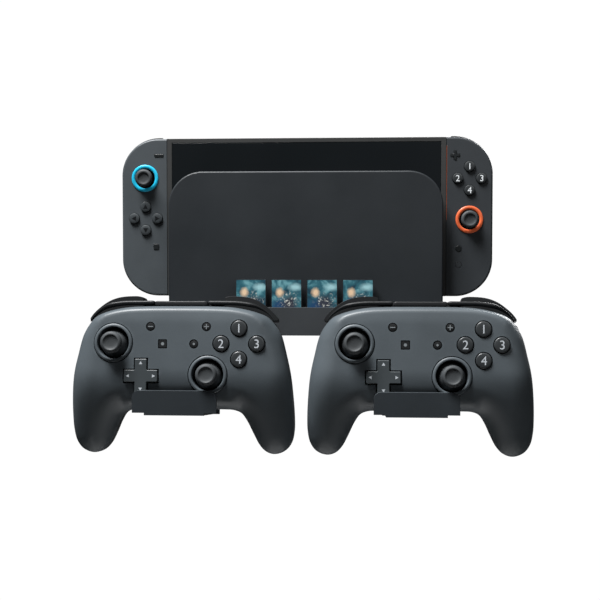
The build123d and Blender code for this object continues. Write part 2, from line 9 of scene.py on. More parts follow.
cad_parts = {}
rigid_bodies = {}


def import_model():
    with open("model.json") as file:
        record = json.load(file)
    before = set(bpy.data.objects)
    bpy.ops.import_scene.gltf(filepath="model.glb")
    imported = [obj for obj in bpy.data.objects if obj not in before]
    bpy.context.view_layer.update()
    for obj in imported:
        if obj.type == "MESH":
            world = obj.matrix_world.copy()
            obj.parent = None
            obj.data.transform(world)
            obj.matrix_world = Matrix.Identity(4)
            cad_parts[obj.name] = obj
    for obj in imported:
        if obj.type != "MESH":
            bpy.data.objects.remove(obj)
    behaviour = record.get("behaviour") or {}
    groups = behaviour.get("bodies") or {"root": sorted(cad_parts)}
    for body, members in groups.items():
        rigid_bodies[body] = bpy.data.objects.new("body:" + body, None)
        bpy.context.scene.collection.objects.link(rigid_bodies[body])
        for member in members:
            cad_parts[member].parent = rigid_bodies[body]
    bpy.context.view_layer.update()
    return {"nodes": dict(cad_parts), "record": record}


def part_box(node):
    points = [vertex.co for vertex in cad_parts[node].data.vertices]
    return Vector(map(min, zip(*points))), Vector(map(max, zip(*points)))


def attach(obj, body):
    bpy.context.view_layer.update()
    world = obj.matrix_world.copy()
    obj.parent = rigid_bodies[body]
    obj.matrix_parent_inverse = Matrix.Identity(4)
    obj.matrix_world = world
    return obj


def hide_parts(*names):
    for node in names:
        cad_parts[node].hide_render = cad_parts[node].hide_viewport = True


# Looks for a wall holder with a docked handheld console, four game cards and two gamepads.
# Everything is in metres in the CAD frame: +X right, +Z up, the object faces -Y.
# "Depth" is the distance out from the wall, so a point at depth d has Y = -d.

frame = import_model()
MM = 0.001
NODES = frame["nodes"]
scene = bpy.context.scene


# ---- places read from the frame
def low(node):
    """Lowest corner of a CAD node in millimetres."""
    return Vector(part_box(node)[0]) / MM


def high(node):
    """Highest corner of a CAD node in millimetres."""
    return Vector(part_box(node)[1]) / MM


def middle(node):
    """Middle of a CAD node's box in millimetres."""
    return (low(node) + high(node)) / 2


JOINTS = {j["name"]: j for j in frame["record"]["behaviour"]["joints"]}


def pivot(joint):
    """Pivot of a hinge in millimetres."""
    return Vector(JOINTS[joint]["pos_m"]) / MM


def islands(node):
    """Box of each separate solid of a CAD node in millimetres, from the top down."""
    mesh = NODES[node].data
    group = list(range(len(mesh.vertices)))

    def root(i):
        while group[i] != i:
            group[i] = group[group[i]]
            i = group[i]
        return i

    seen = {}
    for v in mesh.vertices:
        key = tuple(round(c, 6) for c in v.co)
        group[root(v.index)] = root(seen.setdefault(key, v.index))
    for edge in mesh.edges:
        a, b = edge.vertices
        group[root(a)] = root(b)
    parts = {}
    for v in mesh.vertices:
        parts.setdefault(root(v.index), []).append(v.co / MM)
    boxes = [(Vector(map(min, zip(*p))), Vector(map(max, zip(*p)))) for p in parts.values()]
    return sorted(boxes, key=lambda b: -b[1].z)


# ---- materials
class Shader:
    """Builds a node tree with short calls."""

    def __init__(self, name):
        self.material = bpy.data.materials.new(name)
        self.material.use_nodes = True
        self.tree = self.material.node_tree
        self.main = self.tree.nodes["Principled BSDF"]
        self.coords = self.tree.nodes.new("ShaderNodeTexCoord").outputs["Object"]

    def put(self, socket, value):
        """Link another node's output to a socket, or set the socket to a plain value."""
        if isinstance(value, bpy.types.NodeSocket):
            self.tree.links.new(value, socket)
        else:
            socket.default_value = value

    def node(self, kind, sockets, **settings):
        """A new node with its settings and inputs."""
        made = self.tree.nodes.new(kind)
        for key, value in settings.items():
            setattr(made, key, value)
        for key, value in sockets.items():
            self.put(made.inputs[key], value)
        return made

    def shade(self, sockets):
        """Put inputs of the main shader in place."""
        for key, value in sockets.items():
            self.put(self.main.inputs[key], value)

    def noise(self, scale, detail=3.0, roughness=0.55, stretch=None):
        source = self.coords
        if stretch:
            mapping = self.node("ShaderNodeMapping", {"Vector": source, "Scale": stretch})
            source = mapping.outputs["Vector"]
        sockets = {"Vector": source, "Scale": scale, "Detail": detail, "Roughness": roughness}
        return self.node("ShaderNodeTexNoise", sockets).outputs["Fac"]

    def ramp(self, source, stops):
        made = self.node("ShaderNodeValToRGB", {"Fac": source})
        bar = made.color_ramp
        while len(bar.elements) < len(stops):
            bar.elements.new(0.5)
        for element, (position, colour) in zip(bar.elements, stops):
            element.position = position
            element.color = (*colour, 1.0)
        return made.outputs["Color"]

    def mottle(self, source, colour, darker, lighter):
        """A colour that drifts between a darker and a lighter tint."""
        return self.ramp(source, [(0.3, tint(colour, darker)), (0.7, tint(colour, lighter))])

    def spread(self, source, start, end, to_start, to_end):
        """A value taken from one range to another and held at its ends."""
        sockets = {"Value": source, "From Min": start, "From Max": end,
                   "To Min": to_start, "To Max": to_end}
        return self.node("ShaderNodeMapRange", sockets).outputs["Result"]

    def drift(self, source, low_value, high_value):
        """A value that drifts between two levels."""
        return self.spread(source, 0.3, 0.7, low_value, high_value)

    def mix(self, factor, base, colour):
        """A plain colour laid over a base where the factor is high."""
        made = self.node("ShaderNodeMix", {"Factor": factor}, data_type="RGBA")
        under, over = [s for s in made.inputs if s.type == "RGBA"]
        self.put(under, base)
        self.put(over, (*colour, 1.0))
        return [s for s in made.outputs if s.type == "RGBA"][0]

    def product(self, a, b):
        return self.node("ShaderNodeMath", {0: a, 1: b}, operation="MULTIPLY").outputs["Value"]

    def sum(self, a, b, scale_b):
        """One value plus a share of another."""
        made = self.node("ShaderNodeMath", {0: b, 1: scale_b, 2: a}, operation="MULTIPLY_ADD")
        return made.outputs["Value"]

    def bump(self, height, depth):
        made = self.node("ShaderNodeBump", {"Height": height, "Distance": depth})
        self.shade({"Normal": made.outputs["Normal"]})

    def scuffs(self):
        """Mask of fine handling marks."""
        marks = self.noise(330.0, 6.0, 0.7, stretch=(1, 1, 0.35))
        return self.spread(marks, 0.64, 0.76, 0.0, 0.5)

    def wear(self):
        """Mask of convex edges, broken up by noise."""
        point = self.node("ShaderNodeNewGeometry", {}).outputs["Pointiness"]
        edge = self.spread(point, 0.53, 0.60, 0.0, 1.0)
        return self.product(edge, self.spread(self.noise(420.0, 4.0), 0.42, 0.62, 0.0, 1.0))


def tint(colour, factor):
    """A colour made lighter or darker."""
    return tuple(min(1.0, c * factor) for c in colour)


def plastic(name, colour, rough=0.5, specular=0.35, grain=1700.0, grain_depth=0.00003,
            coat=0.0, worn=1.5, edges=False):
    """Moulded plastic: fine grain, faint clouds, handled sheen, and scuffs or worn edges."""
    s = Shader(name)
    base = s.mottle(s.noise(28.0, 4.0), colour, 0.90, 1.10)
    speck = s.spread(s.noise(2600.0, 1.0), 0.55, 0.75, 0.0, 0.35)
    base = s.mix(speck, base, tint(colour, 1.5))
    base = s.mix(s.wear() if edges else s.scuffs(), base, tint(colour, worn))
    s.shade({
        "Base Color": base,
        "Roughness": s.drift(s.noise(16.0, 5.0, 0.6), rough - 0.05, rough + 0.05),
        "Specular IOR Level": specular,
        "Coat Weight": coat,
        "Coat Roughness": 0.12,
    })
    s.bump(s.sum(s.noise(grain, 2.0), s.noise(grain * 0.25, 2.0), 0.5), grain_depth)
    return s.material


def rubber(name, colour):
    """Soft thumb-stick rubber with a fine pebbled skin."""
    s = Shader(name)
    base = s.mottle(s.noise(60.0, 4.0), colour, 0.85, 1.2)
    s.shade({
        "Base Color": s.mix(s.wear(), base, tint(colour, 1.5)),
        "Roughness": s.drift(s.noise(40.0), 0.58, 0.72),
        "Specular IOR Level": 0.35,
    })
    cells = s.node("ShaderNodeTexVoronoi", {"Vector": s.coords, "Scale": 1500.0})
    s.bump(cells.outputs["Distance"], 0.00004)
    return s.material


def metal(name, colour, rough):
    """Plated steel with a fine turned grain."""
    s = Shader(name)
    s.shade({
        "Base Color": s.mottle(s.noise(300.0, 4.0, stretch=(1, 1, 6)), colour, 0.8, 1.1),
        "Metallic": 1.0,
        "Roughness": s.drift(s.noise(120.0), rough - 0.08, rough + 0.1),
    })
    s.bump(s.noise(2200.0), 0.00001)
    return s.material


def display_glass(name):
    """Black cover glass over a dark display, with faint smears that only show in its gloss."""
    s = Shader(name)
    dark = [(0.3, (0.0055, 0.007, 0.008)), (0.7, (0.008, 0.0095, 0.011))]
    smear = s.noise(22.0, 6.0, 0.65, stretch=(1, 1, 2.4))
    s.shade({
        "Base Color": s.ramp(s.noise(9.0, 2.0), dark),
        "Roughness": s.spread(smear, 0.35, 0.75, 0.05, 0.16),
        "Specular IOR Level": 0.25,
    })
    s.bump(s.noise(35.0, 2.0), 0.000002)
    return s.material


def glowing_accent(name, colour):
    """Translucent coloured ring round a stick, with a faint painted glow from emission, though it
    is no lamp.
    """
    s = Shader(name)
    s.shade({
        "Base Color": s.mottle(s.noise(90.0, 3.0), colour, 0.85, 1.1),
        "Roughness": s.drift(s.noise(60.0), 0.28, 0.4),
        "Specular IOR Level": 0.4,
        # Painted glow: the accent is no lamp.
        "Emission Color": (*colour, 1.0),
        "Emission Strength": 0.12,
    })
    s.bump(s.noise(1400.0), 0.00001)
    return s.material


def ink(name, colour):
    """Printed legend: slightly uneven light ink."""
    s = Shader(name)
    s.shade({
        "Base Color": s.mottle(s.noise(700.0, 3.0), colour, 0.82, 1.0),
        "Roughness": s.drift(s.noise(500.0), 0.42, 0.6),
        "Specular IOR Level": 0.15,
    })
    s.bump(s.noise(2500.0), 0.000006)
    return s.material


def board(name):
    """Solder mask with traces and lighter pads."""
    s = Shader(name)
    brick = s.node("ShaderNodeTexBrick", {
        "Vector": s.coords, "Scale": 160.0, "Color1": (0.01, 0.10, 0.045, 1),
        "Color2": (0.012, 0.13, 0.06, 1), "Mortar": (0.02, 0.2, 0.09, 1),
    })
    pads = s.spread(s.noise(900.0, 0.0), 0.66, 0.70, 0.0, 1.0)
    base = s.mix(pads, brick.outputs["Color"], (0.55, 0.42, 0.15))
    s.shade({"Base Color": base, "Roughness": 0.32})
    s.bump(brick.outputs["Fac"], 0.00002)
    return s.material


def card_art(name, seed):
    """Abstract printed label: teal sky, a pale burst at the upper right, warm and dark blots."""
    s = Shader(name)
    moved = s.node("ShaderNodeMapping", {
        "Vector": s.coords, "Location": (seed * 0.7, seed * 0.3, seed * 0.2)}).outputs["Vector"]

    def cloud(scale, detail):
        sockets = {"Vector": moved, "Scale": scale, "Detail": detail, "Distortion": 0.6}
        return s.node("ShaderNodeTexNoise", sockets).outputs["Fac"]

    def blob(x, z, rx, rz, soft=0.5):
        """Soft oval mask at a place on the label, in millimetres from its middle."""
        oval = s.node("ShaderNodeMapping", {
            "Vector": s.coords, "Location": (x * MM, 0, z * MM),
            "Scale": (rx * MM, 1000.0, rz * MM)}, vector_type="TEXTURE")
        length = s.node("ShaderNodeVectorMath", {0: oval.outputs["Vector"]}, operation="LENGTH")
        ragged = s.sum(length.outputs["Value"], cloud(420.0, 3.0), 0.7)
        return s.spread(ragged, 1.35 - soft, 1.35 + soft, 1.0, 0.0)

    spark = s.spread(cloud(620.0, 2.0), 0.56, 0.66, 0.0, 1.0)
    art = s.ramp(cloud(150.0, 6.0), [
        (0.34, (0.010, 0.042, 0.065)), (0.52, (0.028, 0.12, 0.155)), (0.68, (0.13, 0.31, 0.35))])
    for mask, colour in (
        (blob(6.5, 7.5, 4.0, 2.2, 0.6), (0.30, 0.52, 0.56)),
        (blob(-4.0, -6.5, 7.0, 5.0), (0.012, 0.05, 0.12)),
        (blob(2.2, -4.2, 5.0, 5.4), (0.03, 0.035, 0.05)),
        (blob(-4.8, 3.6, 2.4, 2.8), (0.72, 0.52, 0.34)),
        (s.product(blob(1.6, -2.0, 6.4, 5.2), spark), (0.55, 0.56, 0.52)),
    ):
        art = s.mix(mask, art, colour)
    s.shade({"Base Color": art, "Roughness": s.drift(s.noise(80.0), 0.3, 0.42)})
    s.bump(s.noise(1800.0), 0.000006)
    return s.material


HOLDER = plastic("holder_plastic", (0.033, 0.037, 0.041), rough=0.52, grain=1300.0)
# The cradles take a darker copy of the holder plastic, which paints shade on them; the bracket
# keeps the lighter copy.
SHADED_CRADLE = plastic("cradle_plastic_painted_shade", (0.0225, 0.028, 0.033), rough=0.52, grain=1300.0)
DOCK = plastic("dock_plastic", (0.0125, 0.0155, 0.0185))
CONSOLE = plastic("console_plastic", (0.030, 0.031, 0.031), rough=0.46)
# Lit and shaded copies of one side-controller plastic: the left one is painted lighter for the key
# light from the upper left, the right one painted darker.
LIT_LEFT_SIDE = plastic("left_side_plastic_painted_light", (0.046, 0.054, 0.060), rough=0.48)
SHADED_RIGHT_SIDE = plastic("right_side_plastic_painted_shade", (0.026, 0.030, 0.034), rough=0.48)
PAD = plastic("gamepad_plastic", (0.060, 0.072, 0.081), rough=0.46, grain=1900.0, edges=True,
              worn=1.3)
PAD_REAR = plastic("gamepad_rear_plastic", (0.020, 0.022, 0.024), rough=0.55, grain=1200.0,
                   grain_depth=0.00006)
KEY = plastic("key_plastic", (0.010, 0.011, 0.012), rough=0.46, specular=0.22)
BUTTON = plastic("button_plastic", (0.023, 0.026, 0.028), rough=0.36, specular=0.4, coat=0.1,
                 edges=True)
CROSS = plastic("direction_pad_plastic", (0.036, 0.043, 0.047), rough=0.42, edges=True, worn=1.3)
SIDE_KEY = plastic("side_key_plastic", (0.036, 0.042, 0.046), rough=0.40, edges=True, worn=1.3)
DARK_BUTTON = plastic("dark_button_plastic", (0.010, 0.012, 0.013), rough=0.34, specular=0.4)
# Near-black sheet behind each stick: painted shade for the inside of the socket.
SHADE = plastic("painted_socket_shade", (0.006, 0.006, 0.007), rough=0.7, specular=0.2)
CARD = plastic("card_plastic", (0.020, 0.022, 0.025), rough=0.42)
STICK = rubber("stick_rubber", (0.029, 0.033, 0.036))
STEEL = metal("screw_steel", (0.46, 0.46, 0.48), 0.32)
GLASS = display_glass("screen_glass")
CYAN = glowing_accent("cyan_accent", (0.012, 0.36, 0.55))
ORANGE = glowing_accent("orange_accent", (0.62, 0.115, 0.04))
DIM_ORANGE = glowing_accent("orange_seam", (0.20, 0.055, 0.03))
BOARD = board("circuit_board")
BRIGHT_INK = ink("bright_legend_ink", (0.80, 0.84, 0.86))
INK = ink("legend_ink", (0.42, 0.45, 0.48))
DIM_INK = ink("dim_legend_ink", (0.17, 0.19, 0.20))
DARK_INK = ink("dark_legend_ink", (0.004, 0.005, 0.006))


# ---- mesh helpers
def add(name, data):
    """A new object in the scene."""
    obj = bpy.data.objects.new(name, data)
    scene.collection.objects.link(obj)
    return obj


def build(name, verts, faces, sharp=38.0):
    """A new mesh object from points in millimetres."""
    mesh = bpy.data.meshes.new(name)
    mesh.from_pydata([tuple(c * MM for c in v) for v in verts], [], faces)
    obj = add(name, mesh)
    tidy_mesh(obj, sharp)
    return obj


def tidy_mesh(obj, sharp):
    """Weld, point the normals outward and shade smooth, keeping hard edges hard."""
    bm = bmesh.new()
    bm.from_mesh(obj.data)
    bmesh.ops.remove_doubles(bm, verts=bm.verts, dist=1e-6)
    bmesh.ops.recalc_face_normals(bm, faces=bm.faces)
    bm.to_mesh(obj.data)
    bm.free()
    obj.data.shade_smooth()
    obj.data.set_sharp_from_angle(angle=math.radians(sharp))


def settle(obj):
    """Replace an object's mesh by what its modifiers make of it."""
    graph = bpy.context.evaluated_depsgraph_get()
    mesh = bpy.data.meshes.new_from_object(obj.evaluated_get(graph))
    obj.modifiers.clear()
    old = obj.data
    obj.data = mesh
    if old.users == 0:
        bpy.data.meshes.remove(old)


def bevel(obj, width, segments=3, angle=34.0):
    """Round an object's hard edges and level the shading of its flat faces."""
    mod = obj.modifiers.new("bevel", "BEVEL")
    mod.width = width * MM
    mod.segments = segments
    mod.limit_method = "ANGLE"
    mod.angle_limit = math.radians(angle)
    mod.miter_outer = "MITER_ARC"
    settle(obj)
    obj.data.shade_smooth()
    obj.data.set_sharp_from_angle(angle=math.radians(46))
    level = obj.modifiers.new("level", "WEIGHTED_NORMAL")
    level.mode = "FACE_AREA"
    level.weight = 100
    level.keep_sharp = True
    settle(obj)


def place(obj, body, material, slot, *nodes):
    """Give a piece its material, the body it rides on, and the nodes it stands for. The slot is not
    used.
    """
    obj.data.materials.clear()
    obj.data.materials.append(material)
    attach(obj, body)
    if nodes:
        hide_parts(*nodes)
    return obj


def refine(node, body, material, slot, width, merge=True):
    """A rounded-edge version of a CAD node, with its flat facets merged first if asked."""
    mesh = NODES[node].data.copy()
    obj = add(f"{node}_shell", mesh)
    bm = bmesh.new()
    bm.from_mesh(mesh)
    bmesh.ops.remove_doubles(bm, verts=bm.verts, dist=2e-6)
    if merge:
        bmesh.ops.dissolve_limit(bm, angle_limit=math.radians(0.6), verts=bm.verts, edges=bm.edges)
    bm.to_mesh(mesh)
    bm.free()
    bevel(obj, width)
    return place(obj, body, material, slot, node)


def lathe(name, profile, at, steps, sharp=40.0):
    """A turned shape about the depth axis from (radius, depth) points, closed at both ends."""
    x, z = at
    verts, faces, rings = [], [], []
    for r, depth in profile:
        count = 1 if r < 1e-6 else steps
        rings.append([len(verts) + i for i in range(count)])
        verts += [(x + u, -depth, z + v) for u, v in circle(r, steps)[:count]]
    for a, b in zip(rings, rings[1:]):
        for i in range(steps):
            j = (i + 1) % steps
            quad = [a[i % len(a)], a[j % len(a)], b[j % len(b)], b[i % len(b)]]
            quad = list(dict.fromkeys(quad))
            if len(quad) > 2:
                faces.append(quad)
    return build(name, verts, faces, sharp)


def prism(name, outline, back, front, width, segments=3, at=(0.0, 0.0)):
    """A slab from a polygon in X and Z, with rounded edges if a width is given."""
    x, z = at
    n = len(outline)
    verts = [(x + u, -depth, z + v) for depth in (back, front) for u, v in outline]
    faces = [list(range(n)), list(range(n, 2 * n))]
    faces += [[i, (i + 1) % n, n + (i + 1) % n, n + i] for i in range(n)]
    obj = build(name, verts, faces)
    if width:
        bevel(obj, width, segments)
    return obj


def tube_faces(rows, m):
    """Faces of a bar whose points come in rows of m: its sides, then its two ends."""
    faces = []
    for r in range(rows - 1):
        for i in range(m):
            j = (i + 1) % m
            faces.append([r * m + i, r * m + j, (r + 1) * m + j, (r + 1) * m + i])
    return faces + [list(range(m)), [(rows - 1) * m + i for i in range(m)]]


# ---- flat outlines
def circle(r, steps):
    """Outline of a circle."""
    turns = [2 * math.pi * i / steps for i in range(steps)]
    return [(r * math.cos(turn), r * math.sin(turn)) for turn in turns]


def box(half_u, half_v):
    """Outline of a plain rectangle."""
    return [(-half_u, -half_v), (half_u, -half_v), (half_u, half_v), (-half_u, half_v)]


def cross(arm, half):
    """Outline of a plus shape."""
    quarter = [(half, arm), (half, half), (arm, half)]
    points = []
    for turn in range(4):
        c, s = math.cos(-turn * math.pi / 2), math.sin(-turn * math.pi / 2)
        points += [(u * c - v * s, u * s + v * c) for u, v in quarter]
    return points


def rounded_box(low_u, low_v, high_u, high_v, r, steps):
    """Outline of a rectangle with rounded corners."""
    points = []
    for cu, cv, start in ((high_u - r, high_v - r, 0), (low_u + r, high_v - r, 90),
                          (low_u + r, low_v + r, 180), (high_u - r, low_v + r, 270)):
        for i in range(steps + 1):
            turn = math.radians(start + 90 * i / steps)
            points.append((cu + r * math.cos(turn), cv + r * math.sin(turn)))
    return points


def scaled(points, across, up):
    """An outline made larger or smaller."""
    return [(u * across, v * up) for u, v in points]


def densify(points, step):
    """Extra points along a polygon's sides."""
    out = []
    for (a, b), (c, d) in zip(points, points[1:] + points[:1]):
        n = max(1, round(math.hypot(c - a, d - b) / step))
        out += [(a + (c - a) * i / n, b + (d - b) * i / n) for i in range(n)]
    return out


SOFT_SQUARE = rounded_box(-1, -1, 1, 1, 0.2, 3)
MARKS = {
    "up": [(-0.5, -0.4), (0.5, -0.4), (0, 0.5)],
    "down": [(-0.5, 0.4), (0, -0.5), (0.5, 0.4)],
    "left": [(0.4, -0.5), (0.4, 0.5), (-0.5, 0)],
    "right": [(-0.4, -0.5), (0.5, 0), (-0.4, 0.5)],
    "minus": box(0.5, 0.09),
    "plus": cross(0.5, 0.09),
    "dot": circle(0.5, 24),
}
INK_BACK, INK_FRONT = 0.02, 0.03  # how far a mark reaches into and out of its face


def legend(name, kind, at, front, size):
    """A printed mark on a face: a digit, or one of the flat marks above."""
    if not kind.isdigit():
        outline = scaled(MARKS[kind], size, size)
        return prism(name, outline, front - INK_BACK, front + INK_FRONT, 0, at=at)
    curve = bpy.data.curves.new(name, "FONT")
    curve.body = kind
    curve.size = size * MM
    curve.extrude = INK_FRONT * MM
    curve.align_x = "CENTER"
    curve.align_y = "CENTER"
    text = add(f"{name}_text", curve)
    graph = bpy.context.evaluated_depsgraph_get()
    mesh = bpy.data.meshes.new_from_object(text.evaluated_get(graph))
    bpy.data.objects.remove(text)
    mesh.transform(Matrix.Rotation(math.pi / 2, 4, "X"))
    xs = [v.co.x for v in mesh.vertices]
    zs = [v.co.z for v in mesh.vertices]
    centre_x, centre_z = (min(xs) + max(xs)) / 2, (min(zs) + max(zs)) / 2
    shift = Vector((at[0] * MM - centre_x, -front * MM, at[1] * MM - centre_z))
    mesh.transform(Matrix.Translation(shift))
    return add(name, mesh)


# ---- closed shells over an outline
def blend(p, q, t, start, end):
    """The point from p to q at a parameter that runs from start to end."""
    return p * ((end - t) / (end - start)) + q * ((t - start) / (end - start))


def smooth_loop(points, step):
    """A closed smooth curve through points, evenly sampled."""
    p = [Vector(q) for q in points]
    n = len(p)
    dense = []
    for i in range(n):
        a, b, c, d = p[i - 1], p[i], p[(i + 1) % n], p[(i + 2) % n]
        t1 = (b - a).length ** 0.5
        t2 = t1 + (c - b).length ** 0.5
        t3 = t2 + (d - c).length ** 0.5
        for k in range(16):
            t = t1 + (t2 - t1) * k / 16
            a1, a2, a3 = blend(a, b, t, 0, t1), blend(b, c, t, t1, t2), blend(c, d, t, t2, t3)
            b1, b2 = blend(a1, a2, t, 0, t2), blend(a2, a3, t, t1, t3)
            dense.append(blend(b1, b2, t, t1, t2))
    return resample(dense, step)


def resample(points, step):
    """A closed line with evenly spaced points."""
    n = len(points)
    spans = [(points[(i + 1) % n] - points[i]).length for i in range(n)]
    total = sum(spans)
    count = max(8, round(total / step))
    out, i, run = [], 0, 0.0
    for k in range(count):
        goal = total * k / count
        while run + spans[i] < goal:
            run += spans[i]
            i += 1
        out.append(points[i].lerp(points[(i + 1) % n], (goal - run) / max(spans[i], 1e-9)))
    return out


def distances(points, loop):
    """Distance of each point from a closed line."""
    a = np.array([(q.x, q.y) for q in loop])
    b = np.roll(a, -1, axis=0)
    ab = b - a
    size = (ab ** 2).sum(1)
    out = np.empty(len(points))
    pts = np.asarray(points)
    for start in range(0, len(pts), 400):
        chunk = pts[start:start + 400]
        t = ((chunk[:, None, :] - a[None]) * ab[None]).sum(2) / size[None]
        near = a[None] + np.clip(t, 0, 1)[..., None] * ab[None]
        out[start:start + 400] = np.sqrt(((chunk[:, None, :] - near) ** 2).sum(2)).min(1)
    return out


def inside(points, loop):
    """True for each point inside a closed line."""
    pts = np.asarray(points)
    a = np.array([(q.x, q.y) for q in loop])
    b = np.roll(a, -1, axis=0)
    hit = np.zeros(len(pts), bool)
    for (x0, y0), (x1, y1) in zip(a, b):
        crosses = (pts[:, 1] < y0) != (pts[:, 1] < y1)
        if y0 != y1:
            at = x0 + (pts[:, 1] - y0) * (x1 - x0) / (y1 - y0)
            hit ^= crosses & (pts[:, 0] < at)
    return hit


RING_OFFSETS = [0.05, 0.2, 0.45, 0.85, 1.4, 2.1, 3.0, 4.2, 5.6]  # rows of points behind the rim
GRID_STEP = 1.7  # spacing of the points further in
ROW_RATIO = 0.866  # height of an equilateral triangle over its side
ON_RIM = 1e-4


def loop_normals(loop):
    """Inward normals of a clockwise closed line."""
    out = []
    for i in range(len(loop)):
        along = loop[(i + 1) % len(loop)] - loop[i - 1]
        out.append(Vector((along.y, -along.x)).normalized())
    return out


def fill_points(loop, holes):
    """Points inside a loop and outside its holes: rows that follow the rim, then an even grid."""
    normals = loop_normals(loop)
    rings = []
    for gap in RING_OFFSETS:
        for q, normal in zip(loop, normals):
            p = q + normal * gap
            rings.append((p.x, p.y, gap))
    rings = np.array(rings)
    far = distances(rings[:, :2], loop)
    rings = rings[(far > rings[:, 2] * 0.93) & inside(rings[:, :2], loop)][:, :2]
    x0, x1 = min(q.x for q in loop), max(q.x for q in loop)
    y0, y1 = min(q.y for q in loop), max(q.y for q in loop)
    grid = np.array([
        (x0 + (i + 0.5 * (j % 2)) * GRID_STEP, y0 + j * GRID_STEP * ROW_RATIO)
        for j in range(int((y1 - y0) / (GRID_STEP * ROW_RATIO)) + 1)
        for i in range(int((x1 - x0) / GRID_STEP) + 1)
    ])
    grid = grid[inside(grid, loop)]
    grid = grid[distances(grid, loop) > RING_OFFSETS[-1] + 0.7]
    points = np.vstack([rings, grid])
    for hole in holes:
        points = points[~inside(points, hole) & (distances(points, hole) > 0.5)]
    return points


def shell_mesh(loop, holes, parting, surface):
    """Points and faces of a closed shell over an outline with holes. parting(points) is the depth
    of its inner side, and surface(points, distance) of its outer one, which meets it at the rim."""
    points, edges = [], []
    for line in [loop] + holes:
        first, n = len(points), len(line)
        points += [(q.x, q.y) for q in line]
        edges += [(first + i, first + (i + 1) % n) for i in range(n)]
    points += [tuple(q) for q in fill_points(loop, holes)]
    result = geometry.delaunay_2d_cdt([Vector(q) for q in points], edges, [], 0, 1e-6)
    flat_points = np.array([(q.x, q.y) for q in result[0]])
    tris = np.array([f for f in result[2] if len(f) == 3])
    centres = flat_points[tris].mean(1)
    good = inside(centres, loop)
    for hole in holes:
        good &= ~inside(centres, hole)
    tris = tris[good]
    rim = distances(flat_points, loop)
    inner = parting(flat_points)
    outer = np.where(rim < ON_RIM, inner, surface(flat_points, rim))
    m = len(flat_points)
    verts = [(p[0], -d, p[1]) for depth in (outer, inner) for p, d in zip(flat_points, depth)]
    faces = [tuple(t) for t in tris] + [(t[2] + m, t[1] + m, t[0] + m) for t in tris]
    sides = {}
    for a, b, c in tris:
        sides.update(dict.fromkeys([(a, b), (b, c), (c, a)]))
    for a, b in sides:
        if (b, a) not in sides and not (rim[a] < ON_RIM and rim[b] < ON_RIM):
            faces.append((b, a, a + m, b + m))
    return verts, faces


def ease(x):
    """Smooth step from 0 to 1."""
    x = np.clip(x, 0.0, 1.0)
    return x * x * (3 - 2 * x)


def roll(distance, radius, power=2.2):
    """Rounded rim: 0 at the edge, 1 once the distance reaches the radius."""
    t = np.clip(distance / radius, 0.0, 1.0)
    return (1 - (1 - t) ** power) ** (1 / power)


# ---- gamepad
# right half of the outline from its top centre, in millimetres across and up
PAD_HALF = [
    (0, 0), (25, 0), (42, -0.5), (52, -2.7), (59.4, -7.8), (63.6, -13), (68.3, -23), (72.0, -37),
    (74.7, -50), (76.4, -66), (77.1, -80), (76.9, -88), (75.3, -96), (71.9, -101.2),
    (67.4, -103.9), (62.2, -104.7), (57.0, -102.8), (52.8, -98.4), (48.6, -90.5), (44.5, -82),
    (40.6, -76.6), (35.5, -74.5), (28, -74.1), (0, -74),
]
# the face plate stops short of the top edge, where the bumpers are
PLATE_HALF = [
    (0, -3.4), (25, -3.6), (36, -4.2), (45, -5.7), (54, -8.3), (59.3, -10.7), (63.4, -14.8),
] + PAD_HALF[6:]
PAD_SPLIT, PAD_FACE, PAD_BACK, GRIP_BACK = 104.0, 121.0, 87.0, 77.0
RING_DEPTH = 123.0  # depth of the stick rings, the outermost face
BUTTON_FRONT, SYSTEM_FRONT, CROSS_FRONT = 123.1, 122.2, 123.2
FLANGE_R, SYSTEM_FLANGE_R = 6.2, 2.9  # radii of the flanges behind the buttons
LOWER_SPREAD = 0.558  # how far apart the lower system buttons are, over the upper ones
# holes in the face plate
STICK_HOLE_R, BUTTON_HOLE_R, SYSTEM_HOLE_R, SQUARE_HOLE_HALF = 13.6, 5.95, 3.15, 3.1
SQUARE_KEY = 2  # the square one of the four system buttons
# the corner cut out of the rear shell for each trigger: its side, its foot and its outer end
NOTCH_U, NOTCH_V, NOTCH_END = 27.6, -15.4, 64.4
BUMPER_START, BUMPER_END = 18.1, 64.2
BAR_ENDS = (0.72, 0.90, 0.975)  # how the section of a bumper shrinks at its last steps
TRIGGER_FRONT, TRIGGER_BACK, TRIGGER_LOW, TRIGGER_ROWS = 101.8, 79.3, -12.8, 15


def pad_loop(half, step=1.3):
    """The whole outline from its right half, clockwise from the top centre."""
    left = [(-u, v) for u, v in reversed(half[1:-1])]
    return smooth_loop(half + left, step)


def split_depth(points):
    """Depth of the joint between the two shells: level, then swept back along the grips."""
    return PAD_SPLIT - 14.0 * ease((-points[:, 1] - 42) / 62)


def face_depth(points):
    """Depth of the front face away from its rim: slightly domed, falling back along the grips."""
    u, v = points[:, 0], points[:, 1]
    dome = 1.3 * (1 - (u / 74) ** 2) - 1.0 * ease((v + 16) / 14)
    grip = 22.0 * ease((-v - 46) / 68) ** 1.1
    return PAD_FACE + 0.2 + dome - grip


def front_surface(points, rim):
    """Outer depth of the front shell."""
    u, v = points[:, 0], points[:, 1]
    top = ease((v + 32) / 24) * ease((74 - np.abs(u)) / 24)
    bottom = ease((-v - 60) / 10) * ease((42 - np.abs(u)) / 8)
    radius = 17.0 - 13.0 * top - 9.0 * bottom
    split = split_depth(points)
    return split + (face_depth(points) - split) * roll(rim, radius)


